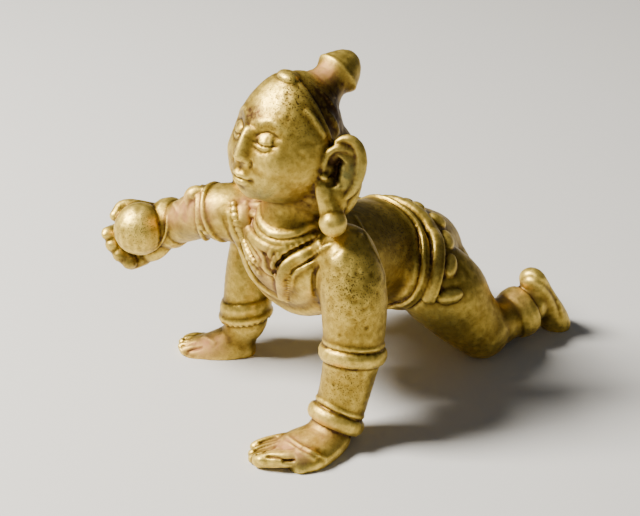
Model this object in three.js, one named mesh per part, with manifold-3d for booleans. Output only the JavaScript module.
// A small solid-cast brass figure of a crawling child. It rests on its left palm, its right foot, its left
// knee and its left toes, and holds out a ball of butter in its right hand. It is one casting, so one solid.
// Millimetres, +Z up. The child crawls towards -Y, and its own left side is +X. Places are counted from a
// spot on the ground under the neck, and the finished solid is moved so that its footprint is centred.
import * as THREE from "three";
import { mergeVertices } from "three/addons/utils/BufferGeometryUtils.js";
import Module from "manifold-3d";

const wasm = await Module();
wasm.setup();

// Trunk: centres and half sizes of its sections from the chest to the rump, and how far each leans back
const CHEST = { y: 12.4, z: 24.6, halfWidth: 10.2, halfHeight: 8.5, lean: 0.12 };
const WAIST = { back: 16.4, drop: 4.1, halfWidth: 8.6, halfHeight: 8.5, lean: 0.2 };
const HIPS = { back: 26, drop: 9.1, halfWidth: 9.8, halfHeight: 9.2, lean: 0.42 };
const RUMP = { back: 31.8, drop: 11.0, halfWidth: 7.8, halfHeight: 8.0, lean: 0.6 };
const BUTTOCK = { aside: 4.0, back: 0.4, drop: 2.2, halfWidth: 5.8, halfLength: 5.8, halfHeight: 6.4 };
const BREAST = { back: -4.4, drop: -1.3, halfWidth: 8.2, halfHeight: 6.6, lean: -0.1 };
const YOKE = { halfWidth: 8.5, back: 0.9, up: 4.8, radius: 5.1 };

// Waist belt: a sharp lip and a broad ridge, with leaf pendants hanging behind them
const BELT_LIP = { along: 0.61, width: 2.4, proud: 0.9 };
const BELT_RIDGE = { along: 0.71, width: 2.8, proud: 1.1 };
const PENDANTS = { along: 0.8, count: 9, reach: 2.05, length: 2.3, width: 1.4, thickness: 0.9 };

// Neck and head. The head is an egg with its broad end down, turned a little to its right and tipped back
const NECK = { up: 8, length: 8, radius: 5.2 };
const HEAD = { halfWidth: 8.5, halfDepth: 9, halfHeight: 10.6, taper: 0.15, turn: -0.14, tip: 0.27 };
const HEAD_ABOVE_CHEST = 22;
const HAIR = { halfWidth: 9.6, halfDepth: 7.2, halfHeight: 8.6, behind: 4.0, below: 4.6 };
const HAIRLINE = { lean: 0.62, reach: 1.66, radius: 0.55, gap: 0.19, peak: 0.95, joints: 9 };
const TOPKNOT = {
  tilt: 0.77,
  behind: 6.5,
  above: 9.6,
  rim: 3.8,
  waist: 3.0,
  foot: 4.6,
  cap: 4.2,
  stalk: 5.4,
};
const EAR = {
  out: 9.4,
  behind: 1.9,
  below: 2.2,
  halfWidth: 2.9,
  halfHeight: 5.2,
  thickness: 1.7,
  flare: 0.8,
};
const EARRING = { radius: 2.15, below: 8.9 };

// Face, on plain proportions: eyes at half the height of the head, the nose and mouth at even thirds below
const FACE = { eyeApart: 3.3, eyeHalf: 1.7, brow: 2.0, nose: -4.6, mouth: -6.6 };

// Limbs: each starts at the trunk and goes on in steps
const LEFT_ARM = {
  from: [9.6, 0.4, 4.6],
  radius: 5.0,
  steps: [
    { by: [2.8, -1.2, -3.8], radius: 5.2 },
    { by: [0.9, -0.6, -5.4], radius: 5.0 },
    { by: [0.5, -0.8, -5.0], radius: 4.6 },
    { by: [-0.2, -0.9, -4.4], radius: 4.2 },
    { by: [-0.2, -1.4, -4.6], radius: 4.0 },
    { by: [-0.3, -1.6, -3.0], radius: 3.5 },
  ],
};
const RIGHT_ARM = {
  from: [-7, 0.1, 5.2],
  radius: 5.0,
  steps: [
    { by: [-4.5, -3.3, 1.2], radius: 4.7 },
    { by: [-3.6, -1, -1.0], radius: 4.25 },
    { by: [-2.7, -0.2, -1.4], radius: 3.9 },
    { by: [-2.3, 0, -1.5], radius: 3.6 },
    { by: [-2.8, 0, -1.4], radius: 3.5 },
    { by: [-2.6, -0.4, -1], radius: 3.2 },
  ],
};
const LEFT_LEG = {
  from: [6.2, -3.2, 1.7],
  radius: 6.4,
  steps: [
    { by: [3.6, 3.4, -4.9], radius: 7.0 },
    { by: [2.4, 2.2, -4.2], radius: 6.0 },
    { by: [2.3, 2.1, -3.4], radius: 5.0 },
  ],
};
const LEFT_SHIN = {
  radius: 4.6,
  steps: [
    { by: [0.3, 2.6, 0.0], radius: 4.3 },
    { by: [0.5, 3.0, 0.1], radius: 4.0 },
    { by: [0.6, 2.6, 0.2], radius: 3.9 },
    { by: [0.9, 2.5, 1.0], radius: 3.4 },
  ],
};
const RIGHT_LEG = {
  from: [-5, 0, 0.7],
  radius: 6.4,
  steps: [
    { by: [-4.6, -5.2, 2.2], radius: 6 },
    { by: [-4.4, -6.6, 1.8], radius: 5.4 },
    { by: [-2.4, -5.6, 1.2], radius: 4.8 },
  ],
};
const RIGHT_SHIN = {
  radius: 4.6,
  steps: [
    { by: [0.1, -0.6, -0.2], radius: 4.4 },
    { by: [0.1, -2.2, -5.4], radius: 4.0 },
    { by: [0.1, -1.1, -5.2], radius: 3.9 },
    { by: [0.1, -0.4, -4.4], radius: 3.8 },
    { by: [-0.7, -0.8, -3.0], radius: 2.8 },
  ],
};

// Bands on the limbs
const ELBOW_BAND = { along: 0.5, width: 3.0, proud: 0.6 };
const WRIST_BAND = { along: 0.86, width: 2.6, proud: 0.9 };
const ARMLET = { along: 0.38, width: 3.0, proud: 0.7 };
const RIGHT_WRIST_BAND = { along: 0.66, width: 2.6, proud: 0.6 };
const RIGHT_ANKLE_BAND = { along: 0.8, width: 2.6, proud: 0.7 };
const LEFT_ANKLE_BAND = { along: 0.82, width: 3.0, proud: 0.8 };

// Flat hand and flat foot: where their sections are, and how high the middles are above the ground
const PALM = {
  heading: 0.44,
  heel: 1.0,
  sections: [
    { along: 0.8, side: 0.9, halfWidth: 3.9, halfHeight: 2.7, height: 1.6 },
    { along: 3.0, side: 1.5, halfWidth: 4.6, halfHeight: 2.7, height: 1.2 },
    { along: 5.6, side: 1.9, halfWidth: 5.1, halfHeight: 2.6, height: 0.8 },
    { along: 8.4, side: 2.0, halfWidth: 4.8, halfHeight: 2.0, height: 0.6 },
  ],
};
const FOOT = {
  heading: 0.96,
  heel: 0.45,
  sections: [
    { along: -1.1, side: 0, halfWidth: 2.5, halfHeight: 3.6, height: 1.5 },
    { along: 1.9, side: 0.3, halfWidth: 3.2, halfHeight: 3.7, height: 1.1 },
    { along: 5.3, side: 0.5, halfWidth: 3.4, halfHeight: 2.4, height: 0.7 },
    { along: 8.4, side: 0.3, halfWidth: 3.1, halfHeight: 1.6, height: 0.4 },
  ],
};

// Fingers and toes: where each starts, how far it reaches and how much it turns aside
const FINGERS = [
  { from: 5.8, side: -1.6, reach: 6.4, radius: 0.95, spread: -0.5 },
  { from: 5.8, side: 0.2, reach: 7.4, radius: 0.95, spread: -0.6 },
  { from: 5.8, side: 2.0, reach: 7.8, radius: 0.95, spread: -1.2 },
  { from: 5.6, side: 5.3, reach: 7.4, radius: 1.35, spread: -3.2 },
];
const TOES = [
  { from: 6.4, side: -1.8, reach: 3.3, radius: 0.9, spread: 0 },
  { from: 6.4, side: -0.5, reach: 3.8, radius: 0.9, spread: 0 },
  { from: 6.4, side: 0.9, reach: 3.6, radius: 0.9, spread: 0 },
  { from: 6.4, side: 2.3, reach: 3.0, radius: 0.9, spread: 0 },
];
const LEFT_FOOT = { length: 13.3, halfWidth: 3.1, thickness: 0.7, heel: [0.2, 0.9, 4.0] };

// Right hand: the ball is counted from the wrist, the rest from the middle of the ball
const BALL = { radius: 4.45, from: [-0.9, -4.3, 0.4] };
const RIGHT_PALM = { at: [-0.9, 3.4, -3.2], halfSizes: [4.3, 5.0, 2.3] };
const RIGHT_HEEL = { at: [1.6, 4.2, 0.6], radius: 2.7 };
const RIGHT_DIGITS = [
  { base: [-4.6, 3.4, -3.6], middle: [-6.6, 0.8, -3.0], tip: [-5.8, -2.0, -1.9], radius: 1.15 },
  { base: [-3.8, 2.8, -5.2], middle: [-5.6, 0.4, -5.0], tip: [-4.8, -2.0, -3.8], radius: 1.15 },
  { base: [-2.6, 2.0, -6.2], middle: [-4.0, 0.0, -6.6], tip: [-3.4, -1.8, -5.6], radius: 1.15 },
  { base: [-1.2, 1.4, -6.4], middle: [-2.2, -0.2, -7.2], tip: [-2.0, -1.2, -6.8], radius: 1.1 },
  { base: [0.8, 4.4, 1.6], middle: [-4.2, 0.8, 2.6], tip: [-4.4, -1.6, 1.6], radius: 0.95 },
];

// Ornaments on the chest: two ridges round the neck, a collar band and the crossing strings
const CHOKER = { high: 9.4, drop: 3.2, wide: 6.2, radius: 0.75, power: 1.9 };
const COLLAR = { high: 8.8, drop: 4.6, wide: 7.4, halfWidth: 1.5, radius: 0.7, power: 1.8 };
const STRINGS = { high: 9.2, drop: 14.4, wide: 6.8, halfWidth: 1.3, radius: 0.62, power: 1.4 };
const SASH = { high: 6.6, drop: 11.8, wide: 5.8, radius: 1.0, power: 0.62 };
const STRING_STEPS = 11;

// The block of ground that trims what stands on it flat
const GROUND = { side: 200, depth: 20 };

const X = new THREE.Vector3(1, 0, 0);
const Z = new THREE.Vector3(0, 0, 1);
const vector = (x, y, z) => new THREE.Vector3(x, y, z);

/** A closed three.js geometry as a solid, its shared vertices merged and its flat triangles dropped. */
function solid(geometry) {
  const bare = geometry.index ? geometry.toNonIndexed() : geometry.clone();
  bare.deleteAttribute("normal");
  bare.deleteAttribute("uv");
  const merged = mergeVertices(bare, 1e-4);
  const corners = merged.index.array;
  const faces = [];
  for (let i = 0; i < corners.length; i += 3) {
    const [a, b, c] = corners.slice(i, i + 3);
    if (a !== b && b !== c && c !== a) faces.push([a, b, c]);
  }
  const make = (list) =>
    new wasm.Manifold(
      new wasm.Mesh({
        numProp: 3,
        vertProperties: merged.attributes.position.array,
        triVerts: new Uint32Array(list.flat()),
      }),
    );
  const made = make(faces);
  return made.volume() > 0 ? made : make(faces.map(([a, b, c]) => [b, a, c]));
}

/** A solid as a three.js geometry. */
function geometryOf(body) {
  const mesh = body.getMesh();
  const geometry = new THREE.BufferGeometry()
    .setAttribute("position", new THREE.BufferAttribute(mesh.vertProperties, 3))
    .setIndex(new THREE.BufferAttribute(mesh.triVerts, 1));
  geometry.computeVertexNormals();
  return geometry;
}

/** Joins solids into one. */
const join = (solids) => solids.reduce((a, b) => a.add(b));

/** A solid with any sealed hollow filled, its inner shells left out. */
const filled = (body) => join(body.decompose().filter((shell) => shell.volume() > 0));

/** The value at t of a smooth run through numbers that are evenly spaced from 0 to 1. */
function smoothRun(values, t) {
  const curve = new THREE.CatmullRomCurve3(values.map((v, k) => vector(v, k, 0)));
  return curve.getPoint(t).x;
}

/**
 * A turned profile bent along a line. Each ring has a centre, the way the line goes there, a direction
 * across, and half sizes across and deep. The first and last rings are closed by a point.
 */
function bent(rings, sides) {
  const all = [{ ...rings[0], shut: true }, ...rings, { ...rings[rings.length - 1], shut: true }];
  const profile = all.map((ring, k) => new THREE.Vector2(ring.shut ? 0 : 1, k));
  const geometry = new THREE.LatheGeometry(profile, sides);
  const places = geometry.getAttribute("position");
  const place = new THREE.Vector3();
  for (let i = 0; i < places.count; i++) {
    place.fromBufferAttribute(places, i);
    const ring = all[Math.round(place.y)];
    const across = ring.across.clone().addScaledVector(ring.way, -ring.across.dot(ring.way)).normalize();
    const deep = ring.way.clone().cross(across);
    const [a, b] = [place.x * ring.wide, place.z * ring.deep];
    place.copy(ring.centre).addScaledVector(across, a).addScaledVector(deep, b);
    places.setXYZ(i, place.x, place.y, place.z);
  }
  return geometry;
}

/** The rounded end of a bent profile: rings that shrink along a quarter of an ellipse. */
function endRings(ring, length, outwards, shares = [0.55, 0.9]) {
  return shares.map((share) => ({
    ...ring,
    centre: ring.centre.clone().addScaledVector(ring.way, outwards * length * share),
    wide: ring.wide * Math.sqrt(1 - share * share),
    deep: ring.deep * Math.sqrt(1 - share * share),
  }));
}

/** Where the rings of a bent profile go, with a ridge at each band and plain rings elsewhere. */
function stopsFor(plain, bands, length) {
  let stops = Array.from({ length: plain + 1 }, (_, k) => ({ t: k / plain, proud: 0 }));
  for (const { along, width, proud } of bands) {
    const half = width / 2 / length;
    stops = stops.filter(({ t }) => Math.abs(t - along) > half * 1.3);
    const ridge = [
      [-1, 0],
      [-0.55, 0.9],
      [0.35, 1],
      [1, 0],
    ];
    stops.push(...ridge.map(([step, share]) => ({ t: along + step * half, proud: proud * share })));
  }
  return stops.sort((a, b) => a.t - b.t);
}

/** A limb through its joints, with round ends and any bands on it. */
function limb(joints, options = {}) {
  const { sides = 12, across = X, flatness = 1, bands = [], ends = [1, 1], small = false } = options;
  const shares = small ? [0.7] : undefined;
  const curve = new THREE.CatmullRomCurve3(joints.map((joint) => joint.at));
  const radii = joints.map((joint) => joint.radius);
  const depths = joints.map((joint) => joint.depth ?? joint.radius * flatness);
  const rings = stopsFor(joints.length - 1, bands, curve.getLength()).map(({ t, proud }) => ({
    centre: curve.getPoint(t),
    way: curve.getTangent(t),
    across,
    wide: smoothRun(radii, t) + proud,
    deep: smoothRun(depths, t) + proud,
  }));
  const [start, end] = [rings[0], rings[rings.length - 1]];
  return bent(
    [
      ...endRings(start, start.deep * ends[0], -1, shares).reverse(),
      ...rings,
      ...endRings(end, end.deep * ends[1], 1, shares),
    ],
    sides,
  );
}

/** The joints of a limb that starts at a place and goes on in steps. */
function walk(at, radius, steps) {
  const joints = [{ at: at.clone(), radius }];
  for (const step of steps) {
    joints.push({ at: joints[joints.length - 1].at.clone().add(vector(...step.by)), radius: step.radius });
  }
  return joints;
}
const lastOf = (joints) => joints[joints.length - 1].at;

/** An ellipsoid with its half sizes along its own axes, placed by a matrix. */
const ellipsoid = (halfSizes, matrix, across = 8, up = 6) =>
  new THREE.SphereGeometry(1, across, up).scale(...halfSizes).applyMatrix4(matrix);

/** A frame at a place whose Y axis goes one way and whose Z axis leans towards another. */
function frameAt(place, forward, upward) {
  const y = forward.clone().normalize();
  const x = y.clone().cross(upward).normalize();
  const z = x.clone().cross(y);
  return new THREE.Matrix4().makeBasis(x, y, z).setPosition(place);
}

const chestCentre = vector(0, CHEST.y, CHEST.z);
const stations = [BREAST, { back: 0, drop: 0, ...CHEST }, WAIST, HIPS, RUMP];
const stationPlace = ({ back, drop }) => chestCentre.clone().add(vector(0, back, -drop));

/** The section of the trunk at t from the chest to the rump. */
function trunkRing(t, proud = 0) {
  const centre = new THREE.CatmullRomCurve3(stations.map(stationPlace)).getPoint(t);
  const lean = smoothRun(stations.map((s) => s.lean), t);
  return {
    centre,
    way: vector(0, Math.cos(lean), -Math.sin(lean)),
    across: X,
    wide: smoothRun(stations.map((s) => s.halfWidth), t) + proud,
    deep: smoothRun(stations.map((s) => s.halfHeight), t) + proud,
  };
}

/** The trunk with its belt. */
function trunk() {
  const stops = stopsFor(10, [BELT_LIP, BELT_RIDGE], RUMP.back);
  const rings = stops.map(({ t, proud }) => trunkRing(t, proud));
  const [front, back] = [rings[0], rings[rings.length - 1]];
  return bent([...endRings(front, 1.6, -1).reverse(), ...rings, ...endRings(back, 5.4, 1)], 18);
}

/** The two buttocks behind the hips. */
const buttocks = () =>
  [-1, 1].map((side) => {
    const place = stationPlace(RUMP).add(vector(side * BUTTOCK.aside, BUTTOCK.back, -BUTTOCK.drop));
    return ellipsoid(
      [BUTTOCK.halfWidth, BUTTOCK.halfLength, BUTTOCK.halfHeight],
      new THREE.Matrix4().makeTranslation(place),
      10,
      6,
    );
  });

/** The leaf pendants that hang behind the belt. */
function pendants() {
  const ring = trunkRing(PENDANTS.along);
  const deep = X.clone().cross(ring.way);
  return Array.from({ length: PENDANTS.count }, (_, k) => {
    const turn = Math.PI / 2 + PENDANTS.reach * ((2 * k) / (PENDANTS.count - 1) - 1);
    const out = X.clone().multiplyScalar(Math.cos(turn)).addScaledVector(deep, Math.sin(turn));
    const place = ring.centre
      .clone()
      .addScaledVector(X, ring.wide * Math.cos(turn))
      .addScaledVector(deep, ring.deep * Math.sin(turn));
    return ellipsoid(
      [PENDANTS.width, PENDANTS.length, PENDANTS.thickness],
      frameAt(place, ring.way, out),
      5,
      4,
    );
  });
}

// Head frame: X to its left, -Y out of the face, Z to the crown
const headCentre = chestCentre.clone().add(vector(-0.4, -0.3, HEAD_ABOVE_CHEST));
const headTurn = new THREE.Quaternion()
  .setFromAxisAngle(Z, HEAD.turn)
  .multiply(new THREE.Quaternion().setFromAxisAngle(X, -HEAD.tip));
const headFrame = new THREE.Matrix4().compose(headCentre, headTurn, vector(1, 1, 1));
const inHead = (x, y, z) => vector(x, y, z).applyMatrix4(headFrame);

/** How far the egg of the head reaches at a height, as a share of its half sizes. */
const headShare = (z) => (1 - HEAD.taper * (z / HEAD.halfHeight)) * Math.sqrt(1 - (z / HEAD.halfHeight) ** 2);

/** The place on the face at a sideways place and a height. */
function onFace(x, z, proud = 0) {
  const share = headShare(z);
  const y = HEAD.halfDepth * Math.sqrt(share ** 2 - (x / HEAD.halfWidth) ** 2);
  return vector(x, -(y + proud), z);
}

/** A place on the unit sphere carried to the egg of the head. */
function onEgg({ x, y, z }) {
  const width = 1 - HEAD.taper * z;
  return vector(x * HEAD.halfWidth * width, y * HEAD.halfDepth * width, z * HEAD.halfHeight);
}

/** The bare head, an egg. */
function head() {
  const geometry = new THREE.SphereGeometry(1, 18, 13).rotateX(Math.PI / 2);
  const places = geometry.getAttribute("position");
  const place = new THREE.Vector3();
  for (let i = 0; i < places.count; i++) {
    const { x, y, z } = onEgg(place.fromBufferAttribute(places, i));
    places.setXYZ(i, x, y, z);
  }
  return geometry.applyMatrix4(headFrame);
}

/** A small limb in the head's frame through places on the face. */
function faceLine(places, radii, sides = 5) {
  const joints = places.map((place, k) => ({ at: place.clone().applyMatrix4(headFrame), radius: radii[k] }));
  return limb(joints, { sides, across: Z, small: true });
}

/** Eyes, nose and lips. */
function face() {
  const sides = [-1, 1];
  const eyes = sides.map((side) => {
    const place = onFace(side * FACE.eyeApart, 0, -0.55);
    const local = frameAt(place, vector(0, 0, 1), vector(side * 0.35, -1, 0));
    return ellipsoid([FACE.eyeHalf, 0.9, 0.8], new THREE.Matrix4().multiplyMatrices(headFrame, local), 8, 5);
  });
  const nose = faceLine(
    [onFace(0, FACE.brow - 0.8, -0.5), onFace(0, FACE.nose + 2.6, 0.1), onFace(0, FACE.nose + 0.4, 0.6)],
    [0.6, 0.85, 1.05],
    7,
  );
  const lips = [0.38, -0.55].map((rise) =>
    faceLine(
      [
        onFace(-1.7, FACE.mouth + 0.1, -0.35),
        onFace(0, FACE.mouth + rise, -0.05),
        onFace(1.7, FACE.mouth + 0.1, -0.35),
      ],
      [0.3, 0.55, 0.3],
    ),
  );
  return [...eyes, nose, ...lips];
}

/** The hair at the back of the head, the double line where it meets the brow, and the bead at its peak. */
function hair() {
  const local = new THREE.Matrix4().setPosition(0, HAIR.behind, -HAIR.below);
  const mass = ellipsoid(
    [HAIR.halfWidth, HAIR.halfDepth, HAIR.halfHeight],
    new THREE.Matrix4().multiplyMatrices(headFrame, local),
    11,
    7,
  );
  const lineAt = (turn, back) =>
    onEgg(
      vector(0, -Math.sin(HAIRLINE.lean), Math.cos(HAIRLINE.lean))
        .multiplyScalar(Math.cos(turn))
        .add(vector(Math.sin(turn), back, 0))
        .normalize(),
    ).applyMatrix4(headFrame);
  const lines = [0, HAIRLINE.gap].map((back) => {
    const joints = Array.from({ length: HAIRLINE.joints }, (_, k) => ({
      at: lineAt(HAIRLINE.reach * ((2 * k) / (HAIRLINE.joints - 1) - 1), back),
      radius: HAIRLINE.radius,
    }));
    return limb(joints, { sides: 5, across: vector(0, 1, 0), small: true });
  });
  const peak = new THREE.SphereGeometry(HAIRLINE.peak, 6, 4).translate(...lineAt(0, 0).toArray());
  return [mass, ...lines, peak];
}

/** The topknot: a turned spool with a rim and a blunt cap, leaning back from the crown. */
function topknot() {
  const { rim, waist, foot, cap, stalk } = TOPKNOT;
  const profile = [
    [0, -stalk - 1],
    [foot, -stalk - 0.6],
    [foot * 0.84, -stalk * 0.78],
    [waist * 1.04, -stalk * 0.48],
    [waist, -stalk * 0.28],
    [waist * 1.1, -stalk * 0.12],
    [rim * 0.98, -0.1],
    [rim, 0.35],
    [rim * 0.9, 0.9],
    [rim * 0.7, cap * 0.42],
    [rim * 0.52, cap * 0.72],
    [rim * 0.3, cap * 0.94],
    [0, cap],
  ].map(([radius, height]) => new THREE.Vector2(radius, height));
  return new THREE.LatheGeometry(profile, 13)
    .rotateX(Math.PI / 2 - TOPKNOT.tilt)
    .translate(0, TOPKNOT.behind, TOPKNOT.above);
}

/** An ear on one side of the head, with its hollow, its long lobe and the ball of the earring. */
function ear(side) {
  const centre = vector(side * EAR.out, EAR.behind, -EAR.below);
  const plate = (share, thickness, forward, across, up) =>
    solid(
      new THREE.SphereGeometry(1, across, up)
        .rotateX(Math.PI / 2)
        .scale(EAR.halfWidth * share, thickness, EAR.halfHeight * share)
        .translate(0, -forward, 0)
        .rotateZ(side * EAR.flare)
        .translate(...centre.toArray())
        .applyMatrix4(headFrame),
    );
  const lobe = limb(
    [
      { at: inHead(centre.x, centre.y - 0.4, centre.z - EAR.halfHeight + 1.2), radius: 1.5 },
      { at: inHead(centre.x, centre.y - 0.8, centre.z - EARRING.below + 0.8), radius: 1.1 },
    ],
    { sides: 6, small: true },
  );
  const ball = new THREE.SphereGeometry(EARRING.radius, 8, 6).translate(
    ...inHead(centre.x + side * 0.2, centre.y + 0.3, centre.z - EARRING.below).toArray(),
  );
  return plate(1, EAR.thickness, 0, 10, 6)
    .subtract(plate(0.62, EAR.thickness, EAR.thickness * 0.8, 8, 5))
    .add(solid(lobe))
    .add(solid(ball));
}

const neckFoot = chestCentre.clone().add(vector(0, 0.2, NECK.up - 3.5));
const neckTop = neckFoot.clone().add(vector(0, -0.1, NECK.length + 3));

/** The neck, standing in the chest and reaching into the head. */
const neck = () =>
  limb(
    [
      { at: neckFoot, radius: NECK.radius + 0.8 },
      { at: neckFoot.clone().lerp(neckTop, 0.5), radius: NECK.radius },
      { at: neckTop, radius: NECK.radius },
    ],
  );

// Limbs, each hung from the trunk
const hipCentre = stationPlace(HIPS);
const leftArm = walk(chestCentre.clone().add(vector(...LEFT_ARM.from)), LEFT_ARM.radius, LEFT_ARM.steps);
const rightArm = walk(chestCentre.clone().add(vector(...RIGHT_ARM.from)), RIGHT_ARM.radius, RIGHT_ARM.steps);
const leftLeg = walk(hipCentre.clone().add(vector(...LEFT_LEG.from)), LEFT_LEG.radius, LEFT_LEG.steps);
const leftShin = walk(lastOf(leftLeg), LEFT_SHIN.radius, LEFT_SHIN.steps);
const rightLeg = walk(hipCentre.clone().add(vector(...RIGHT_LEG.from)), RIGHT_LEG.radius, RIGHT_LEG.steps);
const rightShin = walk(lastOf(rightLeg), RIGHT_SHIN.radius, RIGHT_SHIN.steps);

/** A flat hand or foot on the ground below a wrist or ankle, with its fingers or toes side by side. */
function flatHand(wrist, { heading, heel, sections }, digits) {
  const forward = vector(-Math.sin(heading), -Math.cos(heading), 0);
  const across = vector(Math.cos(heading), -Math.sin(heading), 0);
  const at = (along, side, height) =>
    vector(wrist.x, wrist.y, height).addScaledVector(forward, along).addScaledVector(across, side);
  const palm = limb(
    sections.map(({ along, side, halfWidth, halfHeight, height }) => ({
      at: at(along, side, height),
      radius: halfWidth,
      depth: halfHeight,
    })),
    { sides: 11, across, ends: [heel, 0.6] },
  );
  const fingers = digits.map(({ from, side, reach, radius, spread }) =>
    limb(
      [
        { at: at(from, side, radius * 1.25), radius: radius * 1.05 },
        { at: at(from + reach * 0.55, side + spread * 0.35, radius * 1.05), radius },
        { at: at(from + reach, side + spread, radius * 0.7), radius: radius * 0.85 },
      ],
      { sides: 5, small: true },
    ),
  );
  return [palm, ...fingers];
}

/** The right hand, its palm behind and under the ball, its fingers and thumb round it. */
function rightHand(wrist) {
  const ball = wrist.clone().add(vector(...BALL.from));
  const from = (place) => ball.clone().add(vector(...place));
  const palm = ellipsoid(
    RIGHT_PALM.halfSizes,
    frameAt(from(RIGHT_PALM.at), vector(-0.8, -0.25, -0.5), vector(0.1, -0.75, 0.6)),
    10,
    7,
  );
  const digits = RIGHT_DIGITS.map(({ base, middle, tip, radius }) =>
    limb(
      [
        { at: from(base), radius: radius * 1.15 },
        { at: from(middle), radius },
        { at: from(tip), radius: radius * 0.9 },
      ],
      { sides: 5, across: Z, small: true },
    ),
  );
  const heel = new THREE.SphereGeometry(RIGHT_HEEL.radius, 8, 6).translate(...from(RIGHT_HEEL.at).toArray());
  const butter = new THREE.SphereGeometry(BALL.radius, 14, 10).translate(...ball.toArray());
  return [butter, palm, heel, ...digits];
}

/** The left foot, standing on its toes with its sole turned back. */
function leftFoot(ankle) {
  const along = vector(0.16, 0.46, -0.87).normalize();
  const heel = ankle.clone().add(vector(...LEFT_FOOT.heel));
  const at = (share) => heel.clone().addScaledVector(along, LEFT_FOOT.length * share - 1);
  const sole = limb(
    [
      { at: at(0), radius: LEFT_FOOT.halfWidth * 0.86 },
      { at: at(0.35), radius: LEFT_FOOT.halfWidth * 0.92 },
      { at: at(0.7), radius: LEFT_FOOT.halfWidth * 1.04 },
      { at: at(0.92), radius: LEFT_FOOT.halfWidth * 0.95 },
    ],
    { sides: 11, across: X, flatness: LEFT_FOOT.thickness, ends: [1, 0.8] },
  );
  return [sole];
}

/** The shoulders, one thick bar across the top of the chest. */
const yoke = () =>
  limb(
    [-1, 0, 1].map((side) => ({
      at: chestCentre.clone().add(vector(side * YOKE.halfWidth, YOKE.back, YOKE.up - Math.abs(side) * 0.4)),
      radius: YOKE.radius - Math.abs(side) * 0.6,
    })),
    { sides: 10, across: Z },
  );

const bodyPieces = [
  trunk(),
  ...buttocks(),
  yoke(),
  neck(),
  limb(leftArm, { bands: [ELBOW_BAND, WRIST_BAND] }),
  limb(rightArm, { across: Z, bands: [ARMLET, RIGHT_WRIST_BAND] }),
  limb(leftLeg),
  limb(leftShin, { bands: [LEFT_ANKLE_BAND] }),
  limb(rightLeg, { across: Z }),
  limb(rightShin, { bands: [RIGHT_ANKLE_BAND] }),
];
const bareBody = join(bodyPieces.map(solid));
const skin = new THREE.Mesh(geometryOf(bareBody), new THREE.MeshBasicMaterial({ side: THREE.DoubleSide }));
skin.updateMatrixWorld();

/** The place on the skin that is nearest to a guide place, along a line through a core inside the body. */
function drape(core, guide) {
  const out = guide.clone().sub(core).normalize();
  const start = guide.clone().addScaledVector(out, 60);
  const hits = new THREE.Raycaster(start, out.clone().negate()).intersectObject(skin);
  const nearest = hits.map((hit) => hit.point).sort((a, b) => a.distanceTo(guide) - b.distanceTo(guide))[0];
  return { place: nearest ?? guide, out };
}

/** A string that hangs round the neck to a low point in front, laid on the skin, as seen from the front. */
function string({ drop, high, wide, radius, power, halfWidth = radius, from = -1, to = 1, aside = 0.6 }) {
  const rings = [];
  const steps = Math.round((STRING_STEPS * (to - from + 0.4)) / 2.4);
  for (let k = 0; k <= steps; k++) {
    const s = from + ((to - from) * k) / steps;
    const height = high - drop * (1 - Math.abs(s) ** power);
    const guide = chestCentre
      .clone()
      .add(vector(wide * s + aside * (1 - Math.abs(s)), -6 + 5.5 * s ** 4, height));
    const core = chestCentre.clone().add(vector(wide * s * 0.25, 2.5, height - 1.5 * s ** 2));
    rings.push(drape(core, guide));
  }
  const placeAt = (k) => rings[Math.min(Math.max(k, 0), steps)].place;
  return bent(
    rings.map(({ place, out }, k) => {
      const way = placeAt(k + 1).clone().sub(placeAt(k - 1)).normalize();
      return { centre: place, way, across: way.clone().cross(out), wide: halfWidth, deep: radius };
    }),
    4,
  );
}

const strings = [
  string(CHOKER),
  string({ ...COLLAR, from: -0.9, to: 0.95 }),
  string({ ...SASH, from: 0, to: 1 }),
  string({ ...STRINGS, from: -0.82, to: 0 }),
];

const leftHand = flatHand(lastOf(leftArm), PALM, FINGERS);
const rightFoot = flatHand(lastOf(rightShin), FOOT, TOES);

const details = [
  head(),
  ...face(),
  ...hair(),
  topknot().applyMatrix4(headFrame),
  ...pendants(),
  ...strings,
  ...leftHand,
  ...rightFoot,
  ...rightHand(lastOf(rightArm)),
  ...leftFoot(lastOf(leftShin)),
];

const ground = solid(
  new THREE.BoxGeometry(GROUND.side, GROUND.side, GROUND.depth).translate(0, 0, -GROUND.depth / 2),
);
const standing = filled(join([bareBody, ear(1), ear(-1), ...details.map(solid)]).subtract(ground));
const { min, max } = standing.boundingBox();
const cast = standing.translate([-(min[0] + max[0]) / 2, -(min[1] + max[1]) / 2, 0]);
const brass = new THREE.MeshStandardMaterial({ color: 0xb08d45, metalness: 0.9, roughness: 0.42 });
const figure = new THREE.Mesh(geometryOf(cast), brass);
figure.name = "crawling_krishna";

const part = new THREE.Group();
part.add(figure);

export default part;
